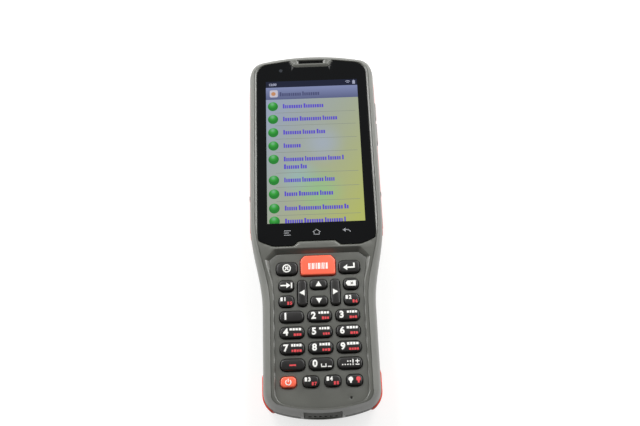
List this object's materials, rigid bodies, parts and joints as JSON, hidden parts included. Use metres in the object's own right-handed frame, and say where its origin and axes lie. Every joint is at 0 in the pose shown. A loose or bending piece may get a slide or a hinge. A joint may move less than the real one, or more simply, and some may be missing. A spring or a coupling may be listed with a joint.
{
  "type": "portable barcode data terminal",
  "caption": "Handheld data terminal with a touch display over a recessed key field, a scan window at its end and a hinged battery cover.",
  "frame": {"origin": "bottom centre of the device's box as it lies on its back", "axes": "+X to the right of the display, +Y towards the scan end, +Z out of the display"},
  "size_m": [0.0732, 0.203, 0.0263],
  "materials": {
    "housing": "fine moulded grain",
    "rear_shell": "fine moulded grain",
    "key_black": "satin",
    "orange": "satin",
    "bumper": "matte",
    "cover_glass": "polished",
    "panel": "smooth",
    "frame_metal": "stamped",
    "mesh_metal": "woven",
    "black_plastic": "moulded",
    "board": "solder resist",
    "bright_metal": "plated",
    "window_tint": "polished",
    "battery_wrap": "film",
    "gold": "plated",
    "screw_steel": "blackened",
    "stud_black": "moulded",
    "port_rubber": "matte",
    "flash_clear": "clear moulded"
  },
  "bodies": {
    "root": {"front_housing": "housing", "rear_housing": "rear_shell", "keypad_plate": "housing", "display_lens": "cover_glass", "display_panel": "panel", "display_frame": "frame_metal", "earpiece_mesh": "mesh_metal", "earpiece_speaker": "black_plastic", "keypad_board": "board", "key_domes": "bright_metal", "main_board": "board", "shield_cans": "bright_metal", "scan_engine": "black_plastic", "scan_window": "window_tint", "battery": "battery_wrap", "battery_contacts": "gold", "housing_screws": "screw_steel", "strap_studs": "stud_black", "top_bumpers": "bumper", "bottom_bumpers": "bumper", "port_frame": "housing", "usb_socket": "bright_metal", "io_board": "board", "camera_window": "cover_glass", "camera_module": "black_plastic", "flash_lens": "flash_clear", "loudspeaker": "black_plastic"},
    "battery_cover": {"battery_cover": "rear_shell"},
    "port_cover": {"port_cover": "port_rubber"},
    "side_scan_left": {"side_scan_left": "orange"},
    "side_scan_right": {"side_scan_right": "orange"},
    "volume_key": {"volume_key": "housing"},
    "camera_key": {"camera_key": "housing"},
    "key_esc": {"key_esc": "key_black"},
    "key_scan": {"key_scan": "orange"},
    "key_enter": {"key_enter": "key_black"},
    "key_tab": {"key_tab": "key_black"},
    "key_backspace": {"key_backspace": "key_black"},
    "key_up": {"key_up": "key_black"},
    "key_down": {"key_down": "key_black"},
    "key_left": {"key_left": "key_black"},
    "key_right": {"key_right": "key_black"},
    "key_f1": {"key_f1": "key_black"},
    "key_f2": {"key_f2": "key_black"},
    "key_1": {"key_1": "key_black"},
    "key_2": {"key_2": "key_black"},
    "key_3": {"key_3": "key_black"},
    "key_4": {"key_4": "key_black"},
    "key_5": {"key_5": "key_black"},
    "key_6": {"key_6": "key_black"},
    "key_7": {"key_7": "key_black"},
    "key_8": {"key_8": "key_black"},
    "key_9": {"key_9": "key_black"},
    "key_dash": {"key_dash": "key_black"},
    "key_0": {"key_0": "key_black"},
    "key_symbols": {"key_symbols": "key_black"},
    "key_power": {"key_power": "orange"},
    "key_f3": {"key_f3": "key_black"},
    "key_f4": {"key_f4": "key_black"},
    "key_light": {"key_light": "key_black"}
  },
  "joints": [
    {"name": "key_esc_press", "type": "slide", "parent": "root", "child": "key_esc", "axis": [0, 0, -1], "range_m": [0, 0.0008], "stiffness_N_per_m": 900, "springref_m": -0.0006},
    {"name": "key_scan_press", "type": "slide", "parent": "root", "child": "key_scan", "axis": [0, 0, -1], "range_m": [0, 0.0008], "stiffness_N_per_m": 900, "springref_m": -0.0006},
    {"name": "key_enter_press", "type": "slide", "parent": "root", "child": "key_enter", "axis": [0, 0, -1], "range_m": [0, 0.0008], "stiffness_N_per_m": 900, "springref_m": -0.0006},
    {"name": "key_tab_press", "type": "slide", "parent": "root", "child": "key_tab", "axis": [0, 0, -1], "range_m": [0, 0.0008], "stiffness_N_per_m": 900, "springref_m": -0.0006},
    {"name": "key_backspace_press", "type": "slide", "parent": "root", "child": "key_backspace", "axis": [0, 0, -1], "range_m": [0, 0.0008], "stiffness_N_per_m": 900, "springref_m": -0.0006},
    {"name": "key_up_press", "type": "slide", "parent": "root", "child": "key_up", "axis": [0, 0, -1], "range_m": [0, 0.0008], "stiffness_N_per_m": 900, "springref_m": -0.0006},
    {"name": "key_down_press", "type": "slide", "parent": "root", "child": "key_down", "axis": [0, 0, -1], "range_m": [0, 0.0008], "stiffness_N_per_m": 900, "springref_m": -0.0006},
    {"name": "key_left_press", "type": "slide", "parent": "root", "child": "key_left", "axis": [0, 0, -1], "range_m": [0, 0.0008], "stiffness_N_per_m": 900, "springref_m": -0.0006},
    {"name": "key_right_press", "type": "slide", "parent": "root", "child": "key_right", "axis": [0, 0, -1], "range_m": [0, 0.0008], "stiffness_N_per_m": 900, "springref_m": -0.0006},
    {"name": "key_f1_press", "type": "slide", "parent": "root", "child": "key_f1", "axis": [0, 0, -1], "range_m": [0, 0.0008], "stiffness_N_per_m": 900, "springref_m": -0.0006},
    {"name": "key_f2_press", "type": "slide", "parent": "root", "child": "key_f2", "axis": [0, 0, -1], "range_m": [0, 0.0008], "stiffness_N_per_m": 900, "springref_m": -0.0006},
    {"name": "key_1_press", "type": "slide", "parent": "root", "child": "key_1", "axis": [0, 0, -1], "range_m": [0, 0.0008], "stiffness_N_per_m": 900, "springref_m": -0.0006},
    {"name": "key_2_press", "type": "slide", "parent": "root", "child": "key_2", "axis": [0, 0, -1], "range_m": [0, 0.0008], "stiffness_N_per_m": 900, "springref_m": -0.0006},
    {"name": "key_3_press", "type": "slide", "parent": "root", "child": "key_3", "axis": [0, 0, -1], "range_m": [0, 0.0008], "stiffness_N_per_m": 900, "springref_m": -0.0006},
    {"name": "key_4_press", "type": "slide", "parent": "root", "child": "key_4", "axis": [0, 0, -1], "range_m": [0, 0.0008], "stiffness_N_per_m": 900, "springref_m": -0.0006},
    {"name": "key_5_press", "type": "slide", "parent": "root", "child": "key_5", "axis": [0, 0, -1], "range_m": [0, 0.0008], "stiffness_N_per_m": 900, "springref_m": -0.0006},
    {"name": "key_6_press", "type": "slide", "parent": "root", "child": "key_6", "axis": [0, 0, -1], "range_m": [0, 0.0008], "stiffness_N_per_m": 900, "springref_m": -0.0006},
    {"name": "key_7_press", "type": "slide", "parent": "root", "child": "key_7", "axis": [0, 0, -1], "range_m": [0, 0.0008], "stiffness_N_per_m": 900, "springref_m": -0.0006},
    {"name": "key_8_press", "type": "slide", "parent": "root", "child": "key_8", "axis": [0, 0, -1], "range_m": [0, 0.0008], "stiffness_N_per_m": 900, "springref_m": -0.0006},
    {"name": "key_9_press", "type": "slide", "parent": "root", "child": "key_9", "axis": [0, 0, -1], "range_m": [0, 0.0008], "stiffness_N_per_m": 900, "springref_m": -0.0006},
    {"name": "key_dash_press", "type": "slide", "parent": "root", "child": "key_dash", "axis": [0, 0, -1], "range_m": [0, 0.0008], "stiffness_N_per_m": 900, "springref_m": -0.0006},
    {"name": "key_0_press", "type": "slide", "parent": "root", "child": "key_0", "axis": [0, 0, -1], "range_m": [0, 0.0008], "stiffness_N_per_m": 900, "springref_m": -0.0006},
    {"name": "key_symbols_press", "type": "slide", "parent": "root", "child": "key_symbols", "axis": [0, 0, -1], "range_m": [0, 0.0008], "stiffness_N_per_m": 900, "springref_m": -0.0006},
    {"name": "key_power_press", "type": "slide", "parent": "root", "child": "key_power", "axis": [0, 0, -1], "range_m": [0, 0.0008], "stiffness_N_per_m": 900, "springref_m": -0.0006},
    {"name": "key_f3_press", "type": "slide", "parent": "root", "child": "key_f3", "axis": [0, 0, -1], "range_m": [0, 0.0008], "stiffness_N_per_m": 900, "springref_m": -0.0006},
    {"name": "key_f4_press", "type": "slide", "parent": "root", "child": "key_f4", "axis": [0, 0, -1], "range_m": [0, 0.0008], "stiffness_N_per_m": 900, "springref_m": -0.0006},
    {"name": "key_light_press", "type": "slide", "parent": "root", "child": "key_light", "axis": [0, 0, -1], "range_m": [0, 0.0008], "stiffness_N_per_m": 900, "springref_m": -0.0006},
    {"name": "side_scan_left_press", "type": "slide", "parent": "root", "child": "side_scan_left", "axis": [1, 0, 0], "range_m": [0, 0.0005], "stiffness_N_per_m": 1500, "springref_m": -0.0005},
    {"name": "side_scan_right_press", "type": "slide", "parent": "root", "child": "side_scan_right", "axis": [-1, 0, 0], "range_m": [0, 0.0005], "stiffness_N_per_m": 1500, "springref_m": -0.0005},
    {"name": "volume_key_press", "type": "slide", "parent": "root", "child": "volume_key", "axis": [-1, 0, 0], "range_m": [0, 0.0005], "stiffness_N_per_m": 1500, "springref_m": -0.0005},
    {"name": "camera_key_press", "type": "slide", "parent": "root", "child": "camera_key", "axis": [-1, 0, 0], "range_m": [0, 0.0005], "stiffness_N_per_m": 1500, "springref_m": -0.0005},
    {"name": "port_cover_hinge", "type": "hinge", "parent": "root", "child": "port_cover", "pos_m": [0, -0.10003, 0.01137], "axis": [1, 0, 0], "range_deg": [0, 85]},
    {"name": "battery_cover_hinge", "type": "hinge", "parent": "root", "child": "battery_cover", "pos_m": [0, -0.0874, 0.0011], "axis": [-1, 0, 0], "range_deg": [0, 75]}
  ]
}
